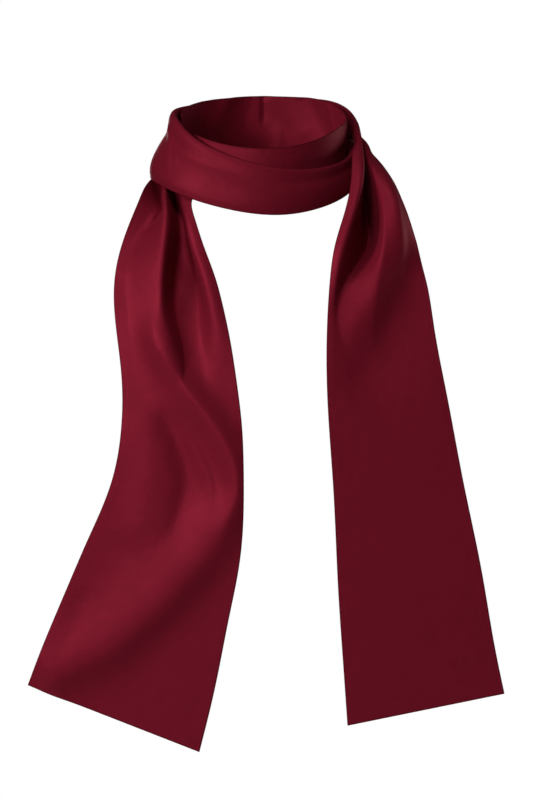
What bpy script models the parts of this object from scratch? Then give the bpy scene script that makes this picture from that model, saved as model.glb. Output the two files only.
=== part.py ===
"""A plain satin stole, wound one and a half times round an open neck, both tails hanging in front.

X runs to the viewer's right, Y away from the viewer and Z up. Every size below is in millimetres and every
angle in degrees, and the meshes are made in metres. The origin is the middle of the neck loop.

The stole is one strip. From one end to the other it is the right tail, the outer wrap round the nape, the
lower pleat of the front band, and then, with the upper pleat of the same band, the inner wrap round the
nape, which goes down under the front band as the left tail. Each stretch that shows is one closed wall.
"""

import math
from typing import NamedTuple

import bmesh
import bpy
import numpy as np

# Driving sizes
WALL = 1.0
SEAM_GAP = 0.3
HALF_SEAM = SEAM_GAP / 2.0
LOOP_RADIUS = 83.0
LOOP_DEPTH_SHARE = 0.904
LOOP_TILT = 17.0
METRES = 0.001

# The bend round a fold line: its length, the most of the nearer leg that it takes each way, and its steps
FOLD_BEND = 4.0
BEND_SHARE = 0.25
BEND_STEPS = 2

# A band's two fold lines, as shares of its width
ROLL_SHARE = 0.2
BULGE_SHARE = 0.5

# Points along a crease's route, and the angle between faces from which an edge is shown sharp
ROUTE_POINTS = 60
SHARP_ANGLE = 50.0

# Heights over the loop's own plane, which rises toward the nape: the lower edges of the inner wrap, of the upper
# pleat and of the inner wrap where it ends over the left tail, and the left tail's top
INNER_LOW = -27.0
PLEAT_LOW = -4.0
INNER_END = -6.0
TAIL_TOP = -6.7

# Where the stretches of the strip meet, as angles round the loop: 0 in front, 90 at the viewer's right
RIGHT_TAIL_END = 118.0
NAPE_OUTER_END = 232.0
INNER_SEAM = 88.0

# Colours of the satin as it shows on each stretch
BURGUNDY = (0.135, 0.011, 0.024, 1.0)
DEEP_BURGUNDY = (0.110, 0.008, 0.018, 1.0)
SATIN_ROUGHNESS = 0.38


class Band(NamedTuple):
    """A section of a band round the neck, from its lower edge to its upper edge.

    Its middle stands out of the straight line between them by the bulge, and its lower part by the roll.
    """

    angle: float
    low_radius: float
    low_height: float
    top_radius: float
    top_height: float
    bulge: float
    roll: float


class Section(NamedTuple):
    """A section of a tail, from its left edge to its right edge as the viewer sees them."""

    left: tuple
    right: tuple


class Thread(NamedTuple):
    """A fold line down the cloth: its share of the cloth's width, and its places in the first sections.

    A place is how far across the section it lies, and how far it stands out of the section's straight line.
    """

    share: float
    places: tuple


class Crease(NamedTuple):
    """A soft fold over a hanging tail: its route in X and Z, its height, and its reach on either side."""

    route: tuple
    height: float
    left_reach: float
    right_reach: float


class Stretch(NamedTuple):
    """One stretch of the strip as a grid: its points along, and its steps from one fold line to the next."""

    along: int
    steps: int


def loop_point(angle, radius, height):
    """A point round the neck, at a radius and at a height over the tilted plane of the loop."""
    turn = math.radians(angle)
    x = radius * math.sin(turn)
    y = -LOOP_DEPTH_SHARE * radius * math.cos(turn)
    return (x, y, height + y * math.tan(math.radians(LOOP_TILT)))


# The lower pleat of the front band, from the left back round the front to under the right tail
FRONT_LOWER = (
    Band(-128.0, 98.0, -28.0, 89.5, 29.5, 1.0, 3.0),
    Band(-106.0, 107.0, -26.0, 91.0, 35.3, 0.4, 3.8),
    Band(-88.0, 114.0, -22.0, 91.0, 39.5, -0.5, 4.5),
    Band(-73.0, 114.5, -17.5, 91.5, 41.5, -0.3, 4.2),
    Band(-60.0, 113.5, -15.5, 92.0, 38.0, 0.5, 4.2),
    Band(-49.0, 112.0, -16.0, 91.5, 33.4, 0.8, 3.6),
    Band(-38.0, 109.5, -18.0, 91.0, 29.3, 1.0, 3.2),
    Band(-24.0, 106.0, -21.5, 89.5, 24.0, 1.5, 3.0),
    Band(-8.0, 102.5, -25.5, 88.2, 18.0, 2.0, 2.6),
    Band(12.0, 101.0, -28.0, 88.0, 11.8, 2.0, 2.6),
    Band(32.0, 101.0, -26.5, 88.3, 7.5, 1.5, 2.4),
    Band(50.0, 100.0, -24.0, 89.0, 5.5, 1.0, 2.0),
    Band(64.0, 99.0, -22.0, 89.8, 5.0, 0.6, 1.4),
    Band(76.0, 97.5, -20.0, 90.0, 5.5, 0.3, 0.8),
)

# The upper pleat of the front band, from its hidden left end to the seam at the right side
FRONT_UPPER = (
    Band(-74.0, 87.0, 12.0, 86.2, 24.0, 0.0, 0.0),
    Band(-62.0, 86.6, 11.0, 84.2, 31.0, 0.0, 0.0),
    Band(-40.0, 86.0, 3.0, LOOP_RADIUS, 32.7, 0.3, 0.15),
    Band(-16.0, 86.0, PLEAT_LOW, LOOP_RADIUS, 31.4, 0.5, 0.25),
    Band(8.0, 86.0, PLEAT_LOW, LOOP_RADIUS, 31.2, 0.5, 0.25),
    Band(32.0, 86.0, PLEAT_LOW, LOOP_RADIUS, 33.0, 0.5, 0.25),
    Band(54.0, 86.0, PLEAT_LOW, LOOP_RADIUS, 36.0, 0.4, 0.2),
    Band(72.0, 86.0, -5.0, LOOP_RADIUS, 36.6, 0.2, 0.1),
    Band(INNER_SEAM, 86.0, -8.0, LOOP_RADIUS, 34.6, 0.0, 0.0),
)

# The inner wrap, from the seam at the right side round the nape to under the left of the front band
NAPE_INNER = (
    Band(INNER_SEAM, 86.0, -8.0, LOOP_RADIUS, 34.6, 0.0, 0.0),
    Band(101.0, 86.0, -21.0, LOOP_RADIUS, 33.6, 0.5, 0.25),
    Band(117.0, 86.0, INNER_LOW, LOOP_RADIUS, 34.4, 1.0, 0.5),
    Band(135.0, 86.0, INNER_LOW, LOOP_RADIUS, 34.2, 1.5, 0.75),
    Band(156.0, 86.0, INNER_LOW, LOOP_RADIUS, 32.0, 1.0, 0.5),
    Band(180.0, 86.0, INNER_LOW, LOOP_RADIUS, 30.6, 0.0, 0.0),
    Band(205.0, 86.0, INNER_LOW, LOOP_RADIUS, 31.6, 1.0, 0.5),
    Band(228.0, 86.0, -25.5, LOOP_RADIUS, 34.0, 1.5, 0.75),
    Band(246.0, 86.0, -18.0, LOOP_RADIUS, 36.6, 1.0, 0.5),
    Band(262.0, 85.5, INNER_END, LOOP_RADIUS, 38.0, 0.5, 0.25),
    Band(272.0, 85.0, 2.0, 82.8, 36.5, 0.0, 0.0),
    Band(283.0, 84.0, 8.0, 82.2, 30.0, 0.0, 0.0),
    Band(294.0, 83.0, 9.0, 81.5, 18.0, 0.0, 0.0),
)

# The outer wrap round the nape, from the right tail's folded edge to the left end of the front band
NAPE_OUTER = (
    Band(RIGHT_TAIL_END, 104.0, -22.0, 95.0, 30.5, 1.6, 1.2),
    Band(134.0, 100.0, -26.0, 94.5, 30.0, 1.6, 1.8),
    Band(150.0, 98.0, -28.0, 92.5, 28.0, 1.5, 2.6),
    Band(168.0, 97.0, -29.0, 90.5, 26.5, 1.2, 3.0),
    Band(186.0, 97.0, -29.0, 90.0, 26.0, 1.0, 3.0),
    Band(204.0, 97.0, -29.0, 89.5, 26.0, 1.0, 3.0),
    Band(219.0, 97.0, -28.5, 89.5, 27.5, 1.0, 3.0),
    Band(NAPE_OUTER_END, 98.0, -28.0, 89.5, 29.5, 1.0, 3.0),
)

# The left tail: three pleats bunched under the front band, which fan out to the slanted hem
LEFT_TAIL = (
    Section(loop_point(-98.0, 85.5, TAIL_TOP), loop_point(-44.0, 93.0, TAIL_TOP)),
    Section(loop_point(-84.0, 112.1, -21.5), loop_point(-41.5, 107.3, -20.0)),
    Section((-123.7, -36.0, -43.8), (-67.7, -90.0, -60.8)),
    Section((-134.3, -52.0, -69.8), (-59.7, -100.0, -84.5)),
    Section((-144.2, -68.0, -101.2), (-48.8, -110.0, -113.0)),
    Section((-147.7, -84.0, -133.9), (-40.0, -119.0, -144.5)),
    Section((-144.8, -95.0, -168.9), (-33.1, -126.0, -177.0)),
    Section((-140.3, -103.0, -203.6), (-27.3, -130.0, -213.9)),
    Section((-138.7, -110.0, -248.3), (-21.4, -132.0, -262.9)),
    Section((-148.0, -115.0, -311.3), (-19.4, -132.0, -324.3)),
    Section((-172.8, -117.0, -373.0), (-24.5, -131.0, -395.3)),
    Section((-193.6, -118.0, -421.1), (-35.5, -130.0, -452.8)),
    Section((-216.3, -118.0, -475.1), (-49.5, -129.0, -523.7)),
    Section((-233.9, -118.0, -520.5), (-64.6, -128.0, -586.4)),
)
LEFT_TAIL_THREADS = (
    Thread(0.12, ((0.12, 4.0), (0.06, -4.0), (0.08, -9.0), (0.12, -6.0), (0.12, -3.0), (0.12, -1.0))),
    Thread(0.34, ((0.38, 13.5), (0.37, 6.0), (0.48, 8.0), (0.49, 8.0), (0.45, 7.0), (0.40, 5.0), (0.33, 2.5))),
    Thread(0.53, ((0.55, 9.0), (0.50, -5.0), (0.50, -13.0), (0.49, -18.0), (0.49, -20.0), (0.49, -18.0),
                  (0.50, -8.0))),
    Thread(0.80, ((0.80, 7.0), (0.76, 2.5), (0.86, 6.0), (0.88, 7.0), (0.87, 7.0), (0.83, 5.0), (0.79, 1.5))),
)
LEFT_TAIL_CREASES = (
    Crease(((-115.0, -155.0), (-100.0, -190.0), (-77.0, -227.0), (-48.0, -266.0), (-31.0, -300.0),
            (-37.0, -336.0), (-64.0, -367.0), (-105.0, -429.0), (-165.0, -485.0), (-207.0, -506.0)),
           5.0, 26.0, 12.0),
    Crease(((-28.0, -343.0), (-54.0, -388.0), (-78.0, -429.0), (-122.0, -485.0), (-182.0, -515.0)),
           -5.0, 12.0, 18.0),
    Crease(((-88.0, -155.0), (-86.0, -185.0), (-71.0, -215.0), (-41.0, -246.0)), -5.0, 11.0, 13.0),
)

# The right tail: an accordion of two pleats over the right side of the neck, which fans out to the hem
RIGHT_TAIL = (
    Section(loop_point(RIGHT_TAIL_END, 87.2, 8.0), loop_point(RIGHT_TAIL_END, 104.0, -22.0)),
    Section(loop_point(100.0, 89.0, 8.0), loop_point(100.0, 112.0, -18.0)),
    Section(loop_point(84.0, 92.0, 12.0), loop_point(84.0, 120.0, -12.0)),
    Section((88.0, -35.0, 5.0), (129.0, -30.0, -27.5)),
    Section((85.5, -68.0, -22.0), (136.0, -50.0, -42.0)),
    Section((79.1, -88.0, -51.1), (142.0, -66.0, -57.5)),
    Section((70.0, -104.0, -84.1), (151.0, -82.0, -87.0)),
    Section((64.5, -116.0, -122.2), (160.5, -97.0, -123.5)),
    Section((62.0, -124.0, -165.5), (167.0, -108.0, -167.0)),
    Section((62.6, -130.0, -233.6), (179.5, -117.0, -233.5)),
    Section((68.6, -132.0, -322.4), (195.6, -122.0, -316.5)),
    Section((73.4, -131.0, -417.4), (214.2, -123.0, -404.5)),
    Section((78.6, -129.0, -493.3), (227.2, -122.0, -477.0)),
    Section((83.4, -127.0, -559.8), (238.2, -121.0, -529.0)),
)
RIGHT_TAIL_THREADS = (
    Thread(0.12, ((-0.46, 17.8), (-0.31, 15.7), (-0.17, 11.0), (0.14, 5.0), (0.19, 5.0), (0.14, 4.5), (0.10, 4.0),
                  (0.07, 2.0), (0.10, 0.5))),
    Thread(0.29, ((-0.07, 13.8), (0.07, 8.7), (0.20, 0.0), (0.37, -9.0), (0.60, -22.0), (0.66, -31.0),
                  (0.54, -31.0), (0.27, -15.0), (0.28, -4.0))),
    Thread(0.46, ((0.13, 11.9), (0.21, 9.8), (0.25, 6.6), (0.33, 3.5), (0.41, 7.5), (0.50, 9.5),
                  (0.47, 10.0), (0.36, 5.0), (0.43, 1.5))),
    Thread(0.65, ((0.41, 9.0), (0.50, 7.4), (0.52, 4.4), (0.56, 5.5), (0.65, 10.0), (0.71, 12.0), (0.69, 11.0),
                  (0.64, 8.0), (0.63, 3.5))),
    Thread(0.86, ((0.79, 3.5), (0.84, 3.2), (0.86, 2.4), (0.88, 3.0), (0.90, 5.0), (0.92, 5.5), (0.92, 5.0),
                  (0.89, 3.5), (0.88, 1.5))),
)
RIGHT_TAIL_CREASES = (
    Crease(((121.0, -132.0), (116.0, -165.0), (86.0, -175.0), (78.0, -220.0)), -3.5, 14.0, 14.0),
)


def smooth(knots, values, places):
    """A natural cubic spline through values at knots, read at places. Values may have any number of columns."""
    knots = np.asarray(knots, float)
    values = np.asarray(values, float).reshape(len(knots), -1)
    step = np.diff(knots)
    slope = np.diff(values, axis=0) / step[:, None]
    system = np.eye(len(knots))
    right = np.zeros_like(values)
    for row in range(1, len(knots) - 1):
        system[row, row - 1] = step[row - 1]
        system[row, row] = 2.0 * (step[row - 1] + step[row])
        system[row, row + 1] = step[row]
        right[row] = 6.0 * (slope[row] - slope[row - 1])
    curve = np.linalg.solve(system, right)
    places = np.clip(np.asarray(places, float), knots[0], knots[-1])
    span = np.clip(np.searchsorted(knots, places, side="right") - 1, 0, len(knots) - 2)
    ahead = ((knots[span + 1] - places) / step[span])[:, None]
    behind = 1.0 - ahead
    width = step[span][:, None]
    bend = (ahead**3 - ahead) * curve[span] + (behind**3 - behind) * curve[span + 1]
    return ahead * values[span] + behind * values[span + 1] + bend * width**2 / 6.0


def stepped(knots, steps):
    """Places from the first knot to the last, with an even number of steps of its own in each span."""
    spans = [np.linspace(low, high, count, endpoint=False) for low, high, count in zip(knots, knots[1:], steps)]
    return np.concatenate(spans + [knots[-1:]])


def unit(vectors):
    """Vectors at length one."""
    return vectors / np.linalg.norm(vectors, axis=-1, keepdims=True)


def into_plane(vectors, across):
    """Vectors turned into the upright plane that a section lies in, at length one."""
    plane = unit(np.cross(across, (0.0, 0.0, 1.0)))
    return unit(vectors - np.multiply.outer(vectors @ plane, plane))


def thread_places(thread, sections):
    """The thread's place in every section. Past its table the thread lies flat at its own share."""
    rest = [(thread.share, 0.0)] * (sections - len(thread.places))
    return np.array(list(thread.places) + rest)


def folded_strip(edge_a, edge_b, threads, stretch, seams=()):
    """The cloth's middle surface through two edges, which give a point for each section, and fold lines.

    Seams names the rows that meet another stretch, and those stay in one upright plane.
    """
    edge_a, edge_b = np.array(edge_a), np.array(edge_b)
    middle = (edge_a + edge_b) / 2.0
    run = np.concatenate([[0.0], np.cumsum(np.linalg.norm(np.diff(middle, axis=0), axis=1))])
    knots = run / run[-1]
    rows = np.linspace(0.0, 1.0, stretch.along)
    a, b = smooth(knots, edge_a, rows), smooth(knots, edge_b, rows)
    along = np.gradient((a + b) / 2.0, axis=0)
    out = unit(np.cross(along, b - a))
    for row in seams:
        out[row] = into_plane(out[row], b[row] - a[row])
    marks = [np.tile([0.0, 0.0], (stretch.along, 1))]
    marks += [smooth(knots, thread_places(thread, len(knots)), rows) for thread in threads]
    marks += [np.tile([1.0, 0.0], (stretch.along, 1))]
    width = np.linalg.norm(b - a, axis=1)
    profile = np.array([rounded_profile(line, width[row], stretch.steps)
                        for row, line in enumerate(np.stack(marks, axis=1))])
    across, depth = profile[..., :1], profile[..., 1:]
    return a[:, None] + across * (b - a)[:, None] + depth * out[:, None]


def rounded_profile(marks, width, steps):
    """The cloth's course across one section, with a rounded bend at each fold line.

    Knots lie as the square roots of the legs between them, which keeps the spline from overshooting a bend.
    """
    marks = marks * (width, 1.0)
    legs = np.linalg.norm(np.diff(marks, axis=0), axis=1)
    reach = np.minimum(FOLD_BEND / 2.0, BEND_SHARE * np.minimum(legs[1:], legs[:-1]))
    turn = unit(marks[2:] - marks[:-2]) * reach[:, None]
    bends = np.stack([marks[1:-1] - turn, marks[1:-1] + turn], axis=1).reshape(-1, 2)
    marks = np.concatenate([marks[:1], bends, marks[-1:]])
    run = np.concatenate([[0.0], np.cumsum(np.sqrt(np.linalg.norm(np.diff(marks, axis=0), axis=1)))])
    steps = [BEND_STEPS if leg % 2 else steps for leg in range(len(run) - 1)]
    return smooth(run, marks, stepped(run, steps)) / (width, 1.0)


def band(rows, stretch, seams):
    """A band round the neck, through its sections' lower and upper edges."""
    low = [loop_point(row.angle, row.low_radius, row.low_height) for row in rows]
    top = [loop_point(row.angle, row.top_radius, row.top_height) for row in rows]
    roll = Thread(ROLL_SHARE, tuple((ROLL_SHARE, row.roll) for row in rows))
    bulge = Thread(BULGE_SHARE, tuple((BULGE_SHARE, row.bulge) for row in rows))
    return folded_strip(low, top, (roll, bulge), stretch, seams)


def tail(sections, threads, creases, stretch, seams=()):
    """A tail through its sections' edges, with its pleats, and then its soft folds raised on it."""
    left, right = [row.left for row in sections], [row.right for row in sections]
    return raise_creases(folded_strip(left, right, threads, stretch, seams), creases)


def raise_creases(grid, creases):
    """Moves the surface out along its normal, highest on each crease's route and fading to both sides."""
    normals = surface_normals(grid)
    for crease in creases:
        grid = grid + crease_height(crease, grid)[..., None] * normals
    return grid


def crease_height(crease, grid):
    """How far the crease lifts each point: most halfway along its route, and nothing at the route's ends."""
    route = np.array(crease.route)
    run = np.concatenate([[0.0], np.cumsum(np.linalg.norm(np.diff(route, axis=0), axis=1))])
    places = np.linspace(0.0, run[-1], ROUTE_POINTS)
    line = smooth(run, route, places)
    heading = unit(np.gradient(line, axis=0))
    away = grid[..., None, (0, 2)] - line
    nearest = np.argmin(np.einsum("...i,...i", away, away), axis=-1)
    offset = np.take_along_axis(away, nearest[..., None, None], axis=-2)[..., 0, :]
    side = heading[nearest][..., 0] * offset[..., 1] - heading[nearest][..., 1] * offset[..., 0]
    reach = np.where(side > 0.0, crease.right_reach, crease.left_reach)
    fade = np.sin(math.pi * places[nearest] / run[-1]) ** 0.5
    distance = np.linalg.norm(offset, axis=-1)
    return crease.height * fade * np.exp(-((distance / reach) ** 2))


def surface_normals(grid):
    """The grid's unit normals, on the side that faces away from the neck."""
    return unit(np.cross(np.gradient(grid, axis=0), np.gradient(grid, axis=1)))


def satin(name, colour):
    """A Principled material with the satin's colour."""
    material = bpy.data.materials.new(name)
    material.use_nodes = True
    shader = material.node_tree.nodes["Principled BSDF"]
    shader.inputs["Base Color"].default_value = colour
    shader.inputs["Roughness"].default_value = SATIN_ROUGHNESS
    shader.inputs["Metallic"].default_value = 0.0
    return material


def wall(name, grid, colour, seams=()):
    """The closed wall of cloth whose middle surface is the grid. Seams names the rows that meet another wall."""
    normals = surface_normals(grid)
    grid = grid.copy()
    for row, next_row in [(row, 1 if row == 0 else -2) for row in seams]:
        normals[row] = into_plane(normals[row], grid[row][-1] - grid[row][0])
        grid[row] += unit(np.mean(grid[next_row] - grid[row], axis=0)) * HALF_SEAM
    normals *= WALL / 2.0
    rows, columns = grid.shape[:2]
    model = bmesh.new()
    outer = [[model.verts.new(point * METRES) for point in line] for line in grid + normals]
    inner = [[model.verts.new(point * METRES) for point in line] for line in grid - normals]
    for row in range(rows - 1):
        for column in range(columns - 1):
            for sheet in (outer, inner):
                model.faces.new((sheet[row][column], sheet[row + 1][column], sheet[row + 1][column + 1],
                                 sheet[row][column + 1]))
    border = [(0, column) for column in range(columns)]
    border += [(row, columns - 1) for row in range(1, rows)]
    border += [(rows - 1, column) for column in range(columns - 2, -1, -1)]
    border += [(row, 0) for row in range(rows - 2, 0, -1)]
    for here, there in zip(border, border[1:] + border[:1]):
        model.faces.new((outer[here[0]][here[1]], outer[there[0]][there[1]], inner[there[0]][there[1]],
                         inner[here[0]][here[1]]))
    bmesh.ops.recalc_face_normals(model, faces=model.faces)
    mesh = bpy.data.meshes.new(name)
    model.to_mesh(mesh)
    model.free()
    mesh.shade_smooth()
    mesh.set_sharp_from_angle(angle=math.radians(SHARP_ANGLE))
    mesh.materials.append(satin(name + "_satin", colour))
    cloth = bpy.data.objects.new(name, mesh)
    bpy.context.scene.collection.objects.link(cloth)


def build():
    """Makes every stretch of the stole."""
    for old in list(bpy.data.objects):
        bpy.data.objects.remove(old, do_unlink=True)
    first, last, both = (0,), (-1,), (0, -1)
    left_tail = tail(LEFT_TAIL, LEFT_TAIL_THREADS, LEFT_TAIL_CREASES, Stretch(along=42, steps=4))
    right_tail = tail(RIGHT_TAIL, RIGHT_TAIL_THREADS, RIGHT_TAIL_CREASES, Stretch(along=44, steps=4), first)
    wall("left_tail", left_tail, BURGUNDY)
    wall("right_tail", right_tail, BURGUNDY, first)
    wall("front_band_lower", band(FRONT_LOWER, Stretch(along=48, steps=2), first), BURGUNDY, first)
    wall("front_band_upper", band(FRONT_UPPER, Stretch(along=36, steps=1), last), BURGUNDY, last)
    wall("nape_inner", band(NAPE_INNER, Stretch(along=44, steps=1), first), DEEP_BURGUNDY, first)
    wall("nape_outer", band(NAPE_OUTER, Stretch(along=28, steps=2), both), DEEP_BURGUNDY, both)


build()
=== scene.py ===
"""The looks of a plain satin dupatta, worn as a slim stole and wound one and a half times round a neck.

X runs to the viewer's right, Y away from the viewer and Z up. The tables below are in millimetres and
degrees, and the meshes are made in metres. The origin is the middle of the neck loop. Angles round the loop
are 0 in front, 90 at the viewer's right and 180 at the nape.
"""

from __future__ import annotations

import logging
import math
from dataclasses import dataclass, field, replace
from enum import Enum

import bpy
import numpy as np
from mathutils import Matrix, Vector


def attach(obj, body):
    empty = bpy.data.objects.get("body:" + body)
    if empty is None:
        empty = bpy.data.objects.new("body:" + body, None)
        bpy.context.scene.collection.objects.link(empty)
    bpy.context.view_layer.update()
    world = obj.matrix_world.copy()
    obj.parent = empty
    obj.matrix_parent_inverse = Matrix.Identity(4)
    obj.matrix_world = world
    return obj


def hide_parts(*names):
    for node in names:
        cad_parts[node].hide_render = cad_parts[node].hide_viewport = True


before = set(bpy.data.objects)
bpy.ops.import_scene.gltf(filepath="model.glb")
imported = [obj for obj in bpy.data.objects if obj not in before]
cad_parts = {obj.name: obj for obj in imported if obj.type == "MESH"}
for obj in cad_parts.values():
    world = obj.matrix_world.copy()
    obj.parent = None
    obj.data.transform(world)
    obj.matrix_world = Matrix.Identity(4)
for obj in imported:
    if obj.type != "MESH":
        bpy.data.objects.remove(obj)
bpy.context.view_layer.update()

METRES = 0.001
LOG = logging.getLogger("stole")

Place = tuple[float, float]
Point = tuple[float, float, float]

WHITE = (1.0, 1.0, 1.0, 1.0)
FULL_TURN = 360.0
TINY = 1e-9
NOISE_MIDDLE = 0.5

# Where a Mix node keeps its sockets for mixing two colours
MIX_FACTOR, MIX_FIRST, MIX_SECOND = 0, 6, 7
MIX_RESULT = 2


class EndFinish(Enum):
    """How a stretch of the strip ends."""

    HEM = "turned hem"
    JOIN = "goes on as the next stretch"


class Hold(Enum):
    """What holds a stretch of cloth."""

    DRAPED = "draped"
    GATHERED = "gathered"


def in_scene(name: str, data: bpy.types.ID) -> bpy.types.Object:
    """Puts something in the scene.

    Args:
        name: The name of its object.
        data: The mesh, light or camera.

    Returns:
        The object.
    """
    made = bpy.data.objects.new(name, data)
    bpy.context.scene.collection.objects.link(made)
    return made


def unit(vectors: np.ndarray) -> np.ndarray:
    """Vectors at length one."""
    return vectors / np.maximum(np.linalg.norm(vectors, axis=-1, keepdims=True), TINY)


def run_of(points: np.ndarray) -> np.ndarray:
    """Distance travelled at each point of a line, from zero at its first point."""
    legs = np.linalg.norm(np.diff(points, axis=0), axis=-1)
    return np.concatenate([[0.0], np.cumsum(legs)])


def ease(share: np.ndarray) -> np.ndarray:
    """A soft step from 0 to 1 as the share goes from 0 to 1."""
    share = np.clip(share, 0.0, 1.0)
    return share * share * (3.0 - 2.0 * share)


def spline(knots: np.ndarray, values: np.ndarray, places: np.ndarray) -> np.ndarray:
    """Reads a natural cubic spline.

    Args:
        knots: Where the values stand, in rising order.
        values: One row for each knot, with any number of columns.
        places: Where to read the spline.

    Returns:
        One row for each place.
    """
    values = np.asarray(values, float).reshape(len(knots), -1)
    step = np.diff(knots)
    slope = np.diff(values, axis=0) / step[:, None]
    system = np.eye(len(knots))
    right = np.zeros_like(values)
    for row in range(1, len(knots) - 1):
        system[row, row - 1] = step[row - 1]
        system[row, row] = 2.0 * (step[row - 1] + step[row])
        system[row, row + 1] = step[row]
        right[row] = 6.0 * (slope[row] - slope[row - 1])
    curve = np.linalg.solve(system, right)
    places = np.clip(places, knots[0], knots[-1])
    span = np.clip(np.searchsorted(knots, places, side="right") - 1, 0, len(knots) - 2)
    ahead = ((knots[span + 1] - places) / step[span])[:, None]
    behind = 1.0 - ahead
    bend = (ahead**3 - ahead) * curve[span] + (behind**3 - behind) * curve[span + 1]
    return ahead * values[span] + behind * values[span + 1] + bend * step[span][:, None] ** 2 / 6.0


@dataclass(frozen=True)
class NeckLoop:
    """The open loop round the neck: an oval that rises toward the nape.

    Attributes:
        depth_share: The oval's front-to-back size over its width.
        tilt: How steeply its plane rises toward the nape.
    """

    depth_share: float = 0.904
    tilt: float = 17.0

    def point(self, angle: float, radius: float, height: float) -> Point:
        """A point round the neck.

        Args:
            angle: Where round the loop, in degrees.
            radius: How far from its axis, at the viewer's right or left.
            height: How high over its plane.

        Returns:
            The point in millimetres.
        """
        turn = math.radians(angle)
        x = radius * math.sin(turn)
        y = -self.depth_share * radius * math.cos(turn)
        return (x, y, height + y * math.tan(math.radians(self.tilt)))

    def chart(self, grid: np.ndarray) -> np.ndarray:
        """Where points lie round the neck.

        Args:
            grid: The points.

        Returns:
            Each point's angle, from -180 to 180 degrees, and its height over the loop's plane.
        """
        x, y, z = grid[..., 0], grid[..., 1], grid[..., 2]
        angle = np.degrees(np.arctan2(x, -y / self.depth_share))
        return np.stack([angle, z - y * math.tan(math.radians(self.tilt))], axis=-1)


LOOP = NeckLoop()


@dataclass(frozen=True)
class SoftFold:
    """A soft ridge, or a trough where its height is negative, that runs over the cloth.

    Attributes:
        route: Its line over the cloth's chart.
        height: How far it stands out of the cloth, in millimetres.
        left_reach: How wide it is on the left of its route.
        right_reach: How wide it is on the right.
        fade_in: The length over which it rises from its first end.
        fade_out: The length over which it dies away at its other end.
        crest: The power of its profile: 2 is round, and less is crisper.
        steps: How many points are read along its route.
        felt: How many widths away from its route it is still felt.
    """

    route: tuple[Place, ...]
    height: float
    left_reach: float
    right_reach: float
    fade_in: float = 40.0
    fade_out: float = 60.0
    crest: float = 2.0
    steps: int = 80
    felt: float = 3.2

    def lift(self, chart: np.ndarray) -> np.ndarray:
        """How far the fold lifts each point.

        Args:
            chart: The points' places in the same two sizes as the route.

        Returns:
            A height in millimetres for each point.
        """
        route = np.array(self.route)
        run = run_of(route)
        places = np.linspace(0.0, run[-1], self.steps)
        line = spline(run, route, places)
        heading = unit(np.gradient(line, axis=0))
        flat = chart.reshape(-1, 2)
        reach = self.felt * max(self.left_reach, self.right_reach)
        near = np.all((flat > line.min(0) - reach) & (flat < line.max(0) + reach), axis=1)
        away = flat[near][:, None] - line
        nearest = np.argmin(np.einsum("ijk,ijk->ij", away, away), axis=1)
        offset = np.take_along_axis(away, nearest[:, None, None], axis=1)[:, 0]
        ahead = heading[nearest]
        side = ahead[:, 0] * offset[:, 1] - ahead[:, 1] * offset[:, 0]
        along = places[nearest] + np.einsum("ij,ij->i", ahead, offset)
        width = np.where(side > 0.0, self.left_reach, self.right_reach)
        fade = ease(along / self.fade_in) * ease((run[-1] - along) / self.fade_out)
        lift = np.zeros(len(flat))
        lift[near] = self.height * fade * np.exp(-((np.abs(side) / width) ** self.crest))
        return lift.reshape(chart.shape[:-1])


@dataclass(frozen=True)
class Wrap:
    """A section of the cloth where it goes round the neck.

    Attributes:
        angle: Where round the loop.
        low: Radius and height of its lower edge.
        top: Radius and height of its upper edge.
        bulge: How far its middle stands out.
        roll: How far the cloth just above its lower edge stands out.
        tuck: How far the layer that is turned down behind the upper edge reaches.
        bulge_place: The bulge's share of the way from the upper edge to the lower.
        roll_place: The roll's share of that way.
    """

    angle: float
    low: Place
    top: Place
    bulge: float
    roll: float
    tuck: float = 22.0
    bulge_place: float = 0.5
    roll_place: float = 0.8

    def face(self, shares: tuple[float, ...]) -> list[Place]:
        """The outer face of the section.

        Args:
            shares: Shares of the way from the upper edge to the lower.

        Returns:
            The radius and the height at each share.
        """
        top, low = np.array(self.top), np.array(self.low)
        down = low - top
        out = np.array([-down[1], down[0]]) / np.linalg.norm(down)
        knots = np.array([0.0, self.bulge_place, self.roll_place, 1.0])
        stand = spline(knots, np.array([0.0, self.bulge, self.roll, 0.0]), np.array(shares))[:, 0]
        return [tuple(top + share * down + rise * out) for share, rise in zip(shares, stand)]


@dataclass(frozen=True)
class Crossing:
    """A section of a hanging tail: its left and right edges as the viewer sees them."""

    left: Point
    right: Point


@dataclass(frozen=True)
class FoldLine:
    """A fold line down a tail.

    Attributes:
        share: Its share of the cloth's width once the cloth hangs flat.
        places: How far across each of the first sections it lies, and how far it stands out there.
        bend: The length of cloth in the turn round it.
    """

    share: float
    places: tuple[Place, ...]
    bend: float = 6.0


def tail_stations(crossings: tuple[Crossing, ...], lines: tuple[FoldLine, ...]) -> np.ndarray:
    """The marked points of each section of a hanging tail.

    Args:
        crossings: The tail's sections from its top to its hem.
        lines: Its fold lines from left to right.

    Returns:
        Points as sections by marks by three.
    """
    left = np.array([row.left for row in crossings])
    right = np.array([row.right for row in crossings])
    middle = (left + right) / 2.0
    run = run_of(middle)
    nudge = 1e-3
    along = spline(run, middle, run + nudge) - spline(run, middle, run - nudge)
    along[0] = spline(run, middle, run[:1] + nudge) - middle[:1]
    along[-1] = middle[-1:] - spline(run, middle, run[-1:] - nudge)
    out = unit(np.cross(along, right - left))
    marks = [left]
    for line in lines:
        rest = [(line.share, 0.0)] * (len(crossings) - len(line.places))
        places = np.array(list(line.places) + rest)
        marks.append(left + places[:, :1] * (right - left) + places[:, 1:] * out)
    return np.stack(marks + [right], axis=1)


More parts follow.
